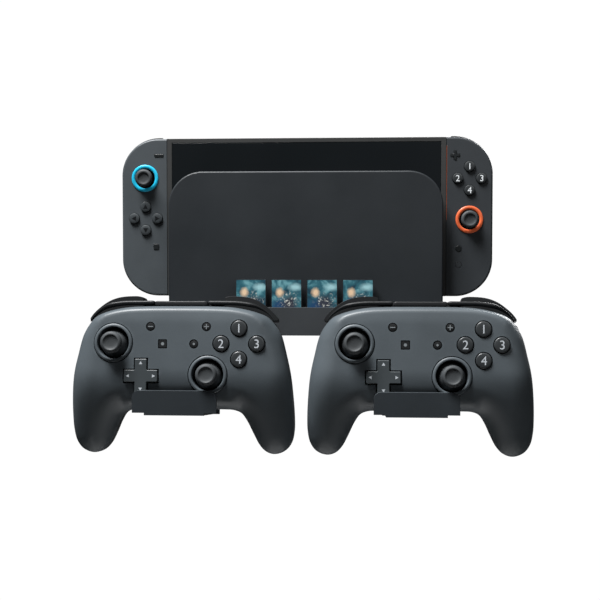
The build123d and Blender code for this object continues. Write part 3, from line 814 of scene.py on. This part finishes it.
def rear_surface(points, rim):
    """Outer depth of the rear shell, with a full round grip behind each hand."""
    u, v = np.abs(points[:, 0]), points[:, 1]
    grip = ease((u - 30) / 24) * ease((-v - 26) / 34)
    tip = 1 - 0.35 * ease((-v - 86) / 20)
    thick = (PAD_SPLIT - PAD_BACK) + (PAD_BACK - GRIP_BACK - 5) * grip * tip
    edge = ease((v + 24) / 8)
    radius = 14.0 + 3.0 * grip - 9.0 * edge
    return split_depth(points) - thick * roll(rim, radius, 3.6)


def mirrored(points):
    """A line on the other side of the gamepad, run the other way."""
    return [Vector((-p.x, p.y)) for p in reversed(points)]


def notch_loop():
    """Outline of the rear shell, cut back at both upper corners for the triggers."""
    side = [Vector((NOTCH_U, NOTCH_V * k / 11)) for k in range(12)]
    foot = [Vector((u, NOTCH_V)) for u in np.linspace(NOTCH_U + 1.3, NOTCH_END, 28)]
    out = []
    cut = False
    for q in pad_loop(PAD_HALF):
        gone = abs(q.x) > NOTCH_U and q.y > NOTCH_V
        if gone and not cut:
            out += side if q.x > 0 else mirrored(foot)
        if cut and not gone:
            out += foot if q.x > 0 else mirrored(side)
        if not gone:
            out.append(q)
        cut = gone
    return out


def stick_profile(base, ball, stem, cap, under, top, dish):
    """Turned outline of a thumb stick: ball, neck, mushroom cap with a dished top."""
    neck, height = base + ball * 0.95, top - under
    turns = [math.radians(a) for a in range(-40, 66, 8)]
    points = [(0, base - ball * 0.7)]
    points += [(ball * math.cos(turn), base + ball * math.sin(turn)) for turn in turns]
    return points + [
        (stem + 0.5, neck), (stem, neck + 0.8), (stem, under - 0.9), (stem + 0.5, under - 0.2),
        (cap - 0.7, under + 0.1), (cap - 0.15, under + 0.45), (cap, under + 1.0),
        (cap, under + height * 0.45), (cap - 0.25, under + height * 0.68),
        (cap - 0.8, under + height * 0.88), (cap - 1.5, top - 0.06), (cap - 2.1, top),
        (dish + 0.55, top - 0.02), (dish + 0.15, top - 0.14), (dish - 0.25, top - 0.5),
        (dish - 0.8, top - 0.78), (dish * 0.5, top - 0.98), (0, top - 1.05),
    ]


def knurl(obj, centre, radius, base, top, count, depth):
    """Press fine ribs into the rim of a stick cap."""
    cx, cz = centre
    for v in obj.data.vertices:
        x, z, d = v.co.x / MM - cx, v.co.z / MM - cz, -v.co.y / MM
        r = math.hypot(x, z)
        if base < d < top and r > radius - 0.4:
            turn = math.atan2(z, x) * count
            shrink = (r - depth * (0.5 + 0.5 * math.cos(turn))) / r
            v.co.x = (cx + x * shrink) * MM
            v.co.z = (cz + z * shrink) * MM


def make_stick(node, body, slot, at, cup, profile, steps, ribs):
    """The near-black cup behind a stick, which stays with the shell and paints the shade inside the
    socket, and the stick itself.
    """
    place(lathe(f"{node}_cup", cup, at, 64), body, SHADE, slot)
    cap = lathe(f"{node}_cap", profile, at, steps, 60)
    knurl(cap, at, *ribs)
    place(cap, node, STICK, "stick_rubber", node)


def sweep_bar(name, path, section):
    """A closed bar along a path of (point, inward normal) pairs, which thins towards the sides of
    the gamepad. section is a closed list of (inward, depth) points."""
    mid_in = sum(s[0] for s in section) / len(section)
    mid_depth = sum(s[1] for s in section) / len(section)
    verts = []
    for k, (q, normal) in enumerate(path):
        end = min(k, len(path) - 1 - k)
        squeeze = BAR_ENDS[end] if end < len(BAR_ENDS) else 1.0
        slim = 1 - 0.85 * float(ease((abs(q.x) - 47) / 19))
        for inward, depth in section:
            p = q + normal * ((mid_in + (inward - mid_in) * squeeze) * slim)
            depth = mid_depth + (depth - mid_depth) * (1 - (1 - squeeze) * 0.4)
            depth = PAD_SPLIT + (depth - PAD_SPLIT) * (0.3 + 0.7 * slim)
            verts.append((p.x, -depth, p.y))
    return build(name, verts, tube_faces(len(path), len(section)), 50.0)


class PadFrame:
    """One gamepad's own upright coordinates, from the lean of its keys and its shell's size."""

    def __init__(self, name):
        press = Vector(JOINTS[f"{name}_buttons_press"]["axis"])
        self.turn = Matrix.Rotation(-math.atan2(-press.z, press.y), 4, "X")
        lo, hi = self.span(f"{name}_front_shell", Vector((0, 0, 0)))
        self.origin = Vector(((lo.x + hi.x) / 2, lo.y + RING_DEPTH, hi.z))

    def span(self, node, origin=None):
        """Lowest and highest corner of a node in the gamepad's own coordinates, in millimetres."""
        back = self.turn.inverted()
        points = [back @ (v.co / MM) for v in NODES[node].data.vertices]
        lo = Vector([min(p[i] for p in points) for i in range(3)])
        hi = Vector([max(p[i] for p in points) for i in range(3)])
        origin = self.origin if origin is None else origin
        return lo - origin, hi - origin

    def local(self, point):
        """Across and up of a world place in the gamepad's own coordinates."""
        p = self.turn.inverted() @ point - self.origin
        return p.x, p.z

    def matrix(self):
        """Own coordinates to world, in metres."""
        return self.turn @ Matrix.Translation(self.origin * MM)


def make_pad_shells(name, sticks, buttons, system, cross_at):
    """Face plate with holes for everything in it, and the rear shell."""
    def hole(at, outline):
        return [Vector((at[0] + u, at[1] + v)) for u, v in outline]

    square_at = system[SQUARE_KEY]
    round_keys = [at for at in system if at != square_at]
    holes = [hole(at, circle(STICK_HOLE_R, 88)) for at in sticks]
    holes += [hole(at, circle(BUTTON_HOLE_R, 48)) for at in buttons]
    holes += [hole(at, circle(SYSTEM_HOLE_R, 32)) for at in round_keys]
    holes.append(hole(square_at, scaled(SOFT_SQUARE, SQUARE_HOLE_HALF, SQUARE_HOLE_HALF)))
    holes.append(hole(cross_at, densify(cross(12.3, 4.85), 1.2)))

    verts, faces = shell_mesh(pad_loop(PLATE_HALF), holes, split_depth, front_surface)
    front = build(f"{name}_face", verts, faces, 55.0)
    place(front, name, PAD, "gamepad_plastic", f"{name}_front_shell")
    verts, faces = shell_mesh(notch_loop(), [], split_depth, rear_surface)
    rear = build(f"{name}_back", verts, faces, 60.0)
    place(rear, name, PAD_REAR, "gamepad_plastic", f"{name}_rear_shell")


def make_top_edge(name):
    """The bridge in the middle of the top edge, the bumpers, and the triggers behind them."""
    loop = pad_loop(PAD_HALF, 0.6)
    pairs = sorted(zip(loop, loop_normals(loop)), key=lambda pair: pair[0].x)
    crest = [pair for pair in pairs if pair[0].y > -22]

    def bar(piece, start, end, section):
        return sweep_bar(piece, [pair for pair in crest if start <= pair[0].x <= end], section)

    section = rounded_box(0.25, PAD_SPLIT + 0.1, 3.7, 113.2, 0.9, 4)
    bridge = bar(f"{name}_top_bridge", -BUMPER_START, BUMPER_START, section)
    place(bridge, name, KEY, "gamepad_plastic")
    section = rounded_box(0.0, PAD_SPLIT + 0.2, 2.6, 113.8, 1.2, 4)
    for side, part in ((-1, "left"), (1, "right")):
        node = f"{name}_{part}_bumper"
        bumper = bar(f"{node}_cap", *sorted((side * BUMPER_START, side * BUMPER_END)), section)
        place(bumper, node, KEY, "key_plastic", node)
        make_trigger(f"{name}_{part}_trigger", side)


def make_trigger(node, side):
    """Curved trigger in the shell's upper rear corner: its top follows the shell's outline."""
    outline = pad_loop(PAD_HALF)
    crest = []
    for q, normal in zip(outline, loop_normals(outline)):
        p = q - normal * (2.5 + 1.6 * float(ease((58 - abs(q.x)) / 16)))
        if p.y > -12.4 and side * p.x > 28.3:
            crest.append(p)
    crest.sort(key=lambda p: side * p.x)
    verts = []
    for k in range(TRIGGER_ROWS):
        t = k / (TRIGGER_ROWS - 1)
        depth = TRIGGER_FRONT - t * (TRIGGER_FRONT - TRIGGER_BACK)
        sink = 4.6 * ease((t - 0.45) / 0.55) ** 1.6
        verts.append((crest[0].x, -depth, TRIGGER_LOW))
        for i, p in enumerate(crest):
            lead = 0.9 * (1 - min(i, 4) / 4) ** 2
            inset = side * sink * 0.25 * (i / len(crest))
            verts.append((p.x - inset, -depth, max(TRIGGER_LOW + 0.3, p.y - sink - lead)))
        verts.append((crest[-1].x - side * sink * 0.25, -depth, TRIGGER_LOW))
    piece = build(f"{node}_cap", verts, tube_faces(TRIGGER_ROWS, len(crest) + 2), 50.0)
    bevel(piece, 0.8, 3, 50.0)
    place(piece, node, KEY, "key_plastic", node)


def make_pad_stick(name, part, at):
    """One stick with the ring round it."""
    face = PAD_FACE + 0.5
    ring = lathe(f"{name}_{part}_ring", [
        (14.2, face - 3.4), (14.2, face - 2.8), (13.0, face - 2.8), (13.1, face + 0.3),
        (12.95, face + 0.75), (12.6, face + 1.1), (12.0, face + 1.3), (11.4, face + 1.4),
        (11.0, face + 1.3), (10.75, face + 0.85), (10.6, face - 0.2), (10.4, face - 3.5),
        (10.3, face - 9.5), (10.9, face - 9.5), (11.0, face - 3.4), (14.2, face - 3.4),
    ], at, 96, 50.0)
    place(ring, name, PAD, "gamepad_plastic")
    cup = [(0, 109.0), (9.9, 109.0), (10.4, 109.4), (10.4, 110.6), (9.6, 110.6), (0, 110.2)]
    profile = stick_profile(
        base=115.0, ball=9.8, stem=4.0, cap=7.4, under=127.2, top=131.0, dish=4.9)
    make_stick(f"{name}_{part}", name, "gamepad_plastic", at, cup, profile, 96,
               (7.4, 128.0, 129.6, 48, 0.09))


def make_pad_buttons(name, places):
    """The four numbered face buttons."""
    node, front = f"{name}_buttons", BUTTON_FRONT
    for k, at in enumerate(places):
        button = lathe(f"{name}_button_{k + 1}", [
            (0, 116.2), (6.1, 116.2), (6.1, 117.0), (5.3, 117.1), (5.3, front - 0.75),
            (5.18, front - 0.4), (4.9, front - 0.13), (4.4, front), (2.2, front + 0.07),
            (0, front + 0.1),
        ], at, 56)
        place(button, node, BUTTON, "button_plastic", *([node] if k == 0 else []))
        mark = legend(f"{name}_button_mark_{k + 1}", str(k + 1), at, front + 0.08, 8.4)
        place(mark, node, INK, "button_plastic")


def make_system_buttons(name, places):
    """The small buttons in the middle of the face, three round and one square."""
    node = f"{name}_system_buttons"
    marks = (("minus", 3.4), ("plus", 3.4), ("dot", 2.2), ("dot", 1.6))
    for k, (at, (kind, size)) in enumerate(zip(places, marks)):
        piece = f"{name}_system_{k + 1}"
        if k == SQUARE_KEY:
            key = prism(piece, scaled(SOFT_SQUARE, 2.75, 2.75), 116.8, SYSTEM_FRONT, 0.35, 3, at)
        else:
            key = lathe(piece, [(0, 116.8), (2.85, 116.8), (2.85, 121.7), (2.65, 122.05),
                                (2.2, SYSTEM_FRONT), (0, 122.25)], at, 40)
        place(key, node, KEY, "button_plastic", *([node] if k == 0 else []))
        mark = legend(f"{name}_system_mark_{k + 1}", kind, at, SYSTEM_FRONT + 0.04, size)
        place(mark, node, DIM_INK, "button_plastic")


def make_direction_pad(name, at):
    node = f"{name}_direction_pad"
    pad = prism(f"{name}_direction_cross", cross(11.5, 4.05), 117.2, CROSS_FRONT, 0.6, 4, at)
    place(pad, node, CROSS, "button_plastic", node)
    for kind, du, dv in (("up", 0, 8.8), ("down", 0, -8.8), ("left", -8.8, 0), ("right", 8.8, 0)):
        mark = legend(f"{name}_arrow_{kind}", kind, (at[0] + du, at[1] + dv), CROSS_FRONT, 2.3)
        place(mark, node, INK, "button_plastic")


def make_pad(name):
    """One gamepad, made in its own upright coordinates and then leaned as it hangs."""
    own = PadFrame(name)
    before = set(bpy.data.objects.keys())
    parts = ("left_stick", "right_stick")
    sticks = [own.local(pivot(f"{name}_{part}_tilt")) for part in parts]
    cross_at = own.local(pivot(f"{name}_direction_pad_rock"))
    lo, hi = own.span(f"{name}_buttons")
    u, v = (lo.x + hi.x) / 2, (lo.z + hi.z) / 2
    reach_u, reach_v = (hi.x - lo.x) / 2 - FLANGE_R, (hi.z - lo.z) / 2 - FLANGE_R
    buttons = [(u, v + reach_v), (u - reach_u, v), (u + reach_u, v), (u, v - reach_v)]
    lo, hi = own.span(f"{name}_system_buttons")
    outer = (hi.x - lo.x) / 2 - SYSTEM_FLANGE_R
    upper, lower = hi.z - SYSTEM_FLANGE_R, lo.z + SYSTEM_FLANGE_R
    inner = outer * LOWER_SPREAD
    system = [(-outer, upper), (outer, upper), (-inner, lower), (inner, lower)]

    make_pad_shells(name, sticks, buttons, system, cross_at)
    make_top_edge(name)
    for part, at in zip(parts, sticks):
        make_pad_stick(name, part, at)
    make_pad_buttons(name, buttons)
    make_system_buttons(name, system)
    make_direction_pad(name, cross_at)
    for obj in [o for o in bpy.data.objects if o.name not in before]:
        obj.data.transform(own.matrix())


# ---- side controllers
SIDE_FLANGE_R = 4.7  # radius of the flange behind each key
BAR_HALF = 0.95  # half the width of the minus and plus keys


def make_side(name, side):
    """One side controller: shells, keys and stick, with its coloured ring."""
    # The shell colour is painted light on the left controller and painted shade on the right.
    skin, ring_paint, ring_slot, key_skin = {
        -1: (LIT_LEFT_SIDE, CYAN, "cyan_accent", SIDE_KEY),
        1: (SHADED_RIGHT_SIDE, ORANGE, "orange_accent", BUTTON),
    }[side]
    for node in (f"{name}_front_shell", f"{name}_rear_shell"):
        refine(node, name, skin, "side_controller_plastic", 0.35)
    for node, width in ((f"{name}_shoulder_key", 0.5), (f"{name}_trigger", 0.7)):
        refine(node, node, KEY, "key_plastic", width)
    face = -low(f"{name}_front_shell").y
    tilt = pivot(f"{name}_stick_tilt")
    at = (tilt.x, tilt.z)
    ring = lathe(f"{name}_light_ring", [
        (9.9, face - 0.6), (10.0, face + 0.25), (9.85, face + 0.6), (9.5, face + 0.85),
        (8.6, face + 0.95), (7.8, face + 0.8), (7.45, face + 0.4), (7.3, face - 0.6),
        (9.9, face - 0.6),
    ], at, 96, 55.0)
    place(ring, name, ring_paint, ring_slot, f"{name}_stick_ring")
    cup = [(0, 38.4), (7.3, 38.4), (7.35, 42.8), (7.1, 42.8), (6.9, 39.2), (0, 38.9)]
    profile = stick_profile(
        base=-tilt.y, ball=5.7, stem=2.9, cap=6.4, under=46.9, top=49.6, dish=4.5)
    make_stick(f"{name}_stick", name, "side_controller_plastic", at, cup, profile, 80,
               (6.4, 47.2, 48.6, 40, 0.07))
    make_side_keys(name, side, key_skin, face + 1.5)
    make_small_keys(name, side, skin, face + 0.35)


def make_side_keys(name, side, key_skin, front):
    """The four round keys, with arrows on the left controller and numerals on the right."""
    node = f"{name}_buttons"
    mid, reach = middle(node), (high(node).x - low(node).x) / 2 - SIDE_FLANGE_R
    spots = (("up", 0, 1), ("left", -1, 0), ("right", 1, 0), ("down", 0, -1))
    for k, (kind, du, dv) in enumerate(spots):
        at = (mid.x + du * reach, mid.z + dv * reach)
        button = lathe(f"{name}_key_{k + 1}", [
            (0, 38.6), (4.6, 38.6), (4.6, 39.3), (3.85, 39.4), (3.85, front - 0.55),
            (3.7, front - 0.2), (3.35, front - 0.03), (1.8, front + 0.04), (0, front + 0.06),
        ], at, 48)
        place(button, node, key_skin, "button_plastic", *([node] if k == 0 else []))
        kind, size, paint = (kind, 3.6, DARK_INK) if side < 0 else (str(k + 1), 6.4, BRIGHT_INK)
        mark = legend(f"{name}_key_mark_{k + 1}", kind, at, front + 0.07, size)
        place(mark, node, paint, "button_plastic")


def make_small_keys(name, side, skin, front):
    """Minus or plus key, square or round key, and the key in the shell's own colour."""
    node = f"{name}_small_buttons"
    for k, (lo, hi) in enumerate(islands(node)):
        at = ((lo.x + hi.x) / 2, (lo.z + hi.z) / 2)
        half_x, half_z = (hi.x - lo.x) / 2, (hi.z - lo.z) / 2
        if k == 0 and side > 0:
            outline = cross(half_x, BAR_HALF)
        elif k == 0:
            outline = box(half_x, BAR_HALF)
        elif k == 1 and side < 0:
            outline = scaled(SOFT_SQUARE, half_x * 0.98, half_z * 0.98)
        else:
            outline = circle(half_x, 40)
        paint, sunk = (skin, 0.25) if k == 2 else (DARK_BUTTON, 0)
        key = prism(f"{name}_small_key_{k + 1}", outline, 38.8, front - sunk, 0.2, 3, at)
        place(key, node, paint, "button_plastic", *([node] if k == 0 else []))


# ---- cards, seam, plain pieces
LABEL_SIDE, LABEL_TOP, LABEL_BOTTOM, LABEL_R = 0.15, 0.2, 5.0, 0.9  # margins and corner radius


def make_card(index):
    """One game card with its printed label."""
    node = f"game_card_{index}"
    refine(node, node, CARD, "card_plastic", 0.2, merge=False)
    lo, hi = low(node), high(node)
    depth = -lo.y
    half_w = (hi.x - lo.x) / 2 - LABEL_SIDE
    top, bottom = hi.z - LABEL_TOP, lo.z + LABEL_BOTTOM
    centre_z = (top + bottom) / 2
    outline = rounded_box(-half_w, bottom, half_w, top, LABEL_R, 5)
    outline = [(u, v - centre_z) for u, v in outline]
    label = prism(f"{node}_label", outline, depth - 0.22, depth - 0.04, 0.05, 2)
    label.location = ((lo.x + hi.x) / 2 * MM, 0, centre_z * MM)
    place(label, node, card_art(f"{node}_art", index + 4), "card_plastic")


def make_seam():
    """Thin coloured lip along the right controller's inner edge, with a faint painted glow."""
    lo, hi = low("right_controller_front_shell"), high("right_controller_front_shell")
    near, far = lo.x - 0.05, lo.x + 0.3
    foot, head = hi.z - (hi.z - lo.z) * 0.52, hi.z - (hi.z - lo.z) * 0.055
    outline = [(near, foot), (far, foot), (far, head), (near, head)]
    strip = prism("right_controller_inner_accent", outline, -lo.y - 1.2, -lo.y + 0.03, 0.08, 2)
    place(strip, "right_controller", DIM_ORANGE, "orange_accent")


# node, body, material, slot and edge width of the pieces that only need rounded edges
HOLDER_PIECES = (
    ("wall_bracket", "holder", HOLDER, "holder_plastic", 0.5),
    ("left_cradle", "holder", SHADED_CRADLE, "holder_plastic", 0.5),
    ("right_cradle", "holder", SHADED_CRADLE, "holder_plastic", 0.5),
    ("cradle_screws", "holder", STEEL, "screw_steel", 0.2),
)
CONSOLE_PIECES = (
    ("dock_front_panel", "dock", DOCK, "dock_plastic", 0.3),
    ("dock_housing", "dock", DOCK, "dock_plastic", 0.35),
    ("dock_rear_cover", "dock", DOCK, "dock_plastic", 0.3),
    ("tablet_housing", "console", CONSOLE, "console_plastic", 0.3),
    ("tablet_bezel", "console", CONSOLE, "console_plastic", 0.25),
    ("screen_glass", "console", GLASS, "screen_glass", 0.2),
    ("kickstand", "console", CONSOLE, "console_plastic", 0.25),
    ("power_button", "power_button", KEY, "console_plastic", 0.3),
    ("volume_rocker", "volume_rocker", KEY, "console_plastic", 0.3),
    ("card_door", "card_door", CONSOLE, "console_plastic", 0.25),
)
# nodes inside their shells, shown as they are
HIDDEN_NODES = (
    "dock_circuit_board", "tablet_internals", "left_gamepad_internals", "right_gamepad_internals")


# ---- stage
def make_stage():
    """Pale floor well below the hanging object, white surround, and key, fill and back lights."""
    floor = bpy.data.meshes.new("floor")
    half, height = 0.6, low("left_gamepad_front_shell").z * MM - 1.1
    floor.from_pydata([(x, y, height) for x, y in box(half, half)], [], [(0, 1, 2, 3)])
    obj = add("floor", floor)
    s = Shader("pale_floor")
    pale = [(0.3, (0.90, 0.90, 0.90)), (0.7, (0.93, 0.93, 0.93))]
    s.shade({"Base Color": s.ramp(s.noise(2.0, 3.0), pale), "Roughness": 0.9})
    obj.data.materials.append(s.material)

    world = bpy.data.worlds.new("surround")
    scene.world = world
    world.use_nodes = True
    tree = world.node_tree
    sky, seen = tree.nodes["Background"], tree.nodes.new("ShaderNodeBackground")
    for node, strength in ((sky, 0.04), (seen, 1.02)):
        node.inputs["Color"].default_value = (1, 1, 1, 1)
        node.inputs["Strength"].default_value = strength
    ray = tree.nodes.new("ShaderNodeLightPath")
    mix = tree.nodes.new("ShaderNodeMixShader")
    tree.links.new(ray.outputs["Is Camera Ray"], mix.inputs["Fac"])
    tree.links.new(sky.outputs["Background"], mix.inputs[1])
    tree.links.new(seen.outputs["Background"], mix.inputs[2])
    tree.links.new(mix.outputs["Shader"], tree.nodes["World Output"].inputs["Surface"])

    # name, place, aim, width and power
    for name, at, aim, width, power in (
        ("key", (-0.46, -0.44, 1.28), (-0.04, -0.09, -0.04), 0.55, 74.0),
        ("fill", (0.75, -1.0, 0.75), (0.0, -0.08, -0.03), 0.9, 3.0),
        ("back", (0.5, 1.0, 0.6), (0.0, 0.0, -0.02), 0.8, 26.0),
    ):
        lamp = bpy.data.lights.new(name, "AREA")
        lamp.shape = "SQUARE"
        lamp.size = width
        lamp.energy = power
        obj = add(name, lamp)
        obj.location = at
        obj.rotation_euler = (Vector(aim) - Vector(at)).to_track_quat("-Z", "Y").to_euler()


def make_camera():
    """Camera about 0.8 m in front of the console, a little to its right and above."""
    azimuth, elevation, distance, lens = math.radians(3.6), math.radians(2.2), 0.8065, 65.6
    aside, below = 4.1, 61.0  # the aim, in millimetres from the middle of the screen's bezel
    bezel = middle("tablet_bezel")
    focus = Vector((bezel.x - aside, low("tablet_bezel").y, bezel.z - below)) * MM
    camera = bpy.data.cameras.new("camera")
    camera.lens = lens
    camera.sensor_width = 36.0
    camera.clip_start = 0.01
    obj = add("camera", camera)
    level = math.cos(elevation)
    out = Vector((math.sin(azimuth) * level, -math.cos(azimuth) * level, math.sin(elevation)))
    obj.location = focus + out * distance
    obj.rotation_euler = (focus - obj.location).to_track_quat("-Z", "Y").to_euler()
    scene.camera = obj
    scene.view_settings.view_transform = "Standard"
    scene.view_settings.look = "None"


make_camera()
make_stage()
for piece in HOLDER_PIECES:
    refine(*piece)
for card_index in range(1, 5):
    make_card(card_index)
for piece in CONSOLE_PIECES:
    refine(*piece)
make_seam()
make_side("left_controller", -1)
make_side("right_controller", 1)
make_pad("left_gamepad")
make_pad("right_gamepad")
for hidden in HIDDEN_NODES:
    NODES[hidden].data.materials.clear()
    NODES[hidden].data.materials.append(BOARD)
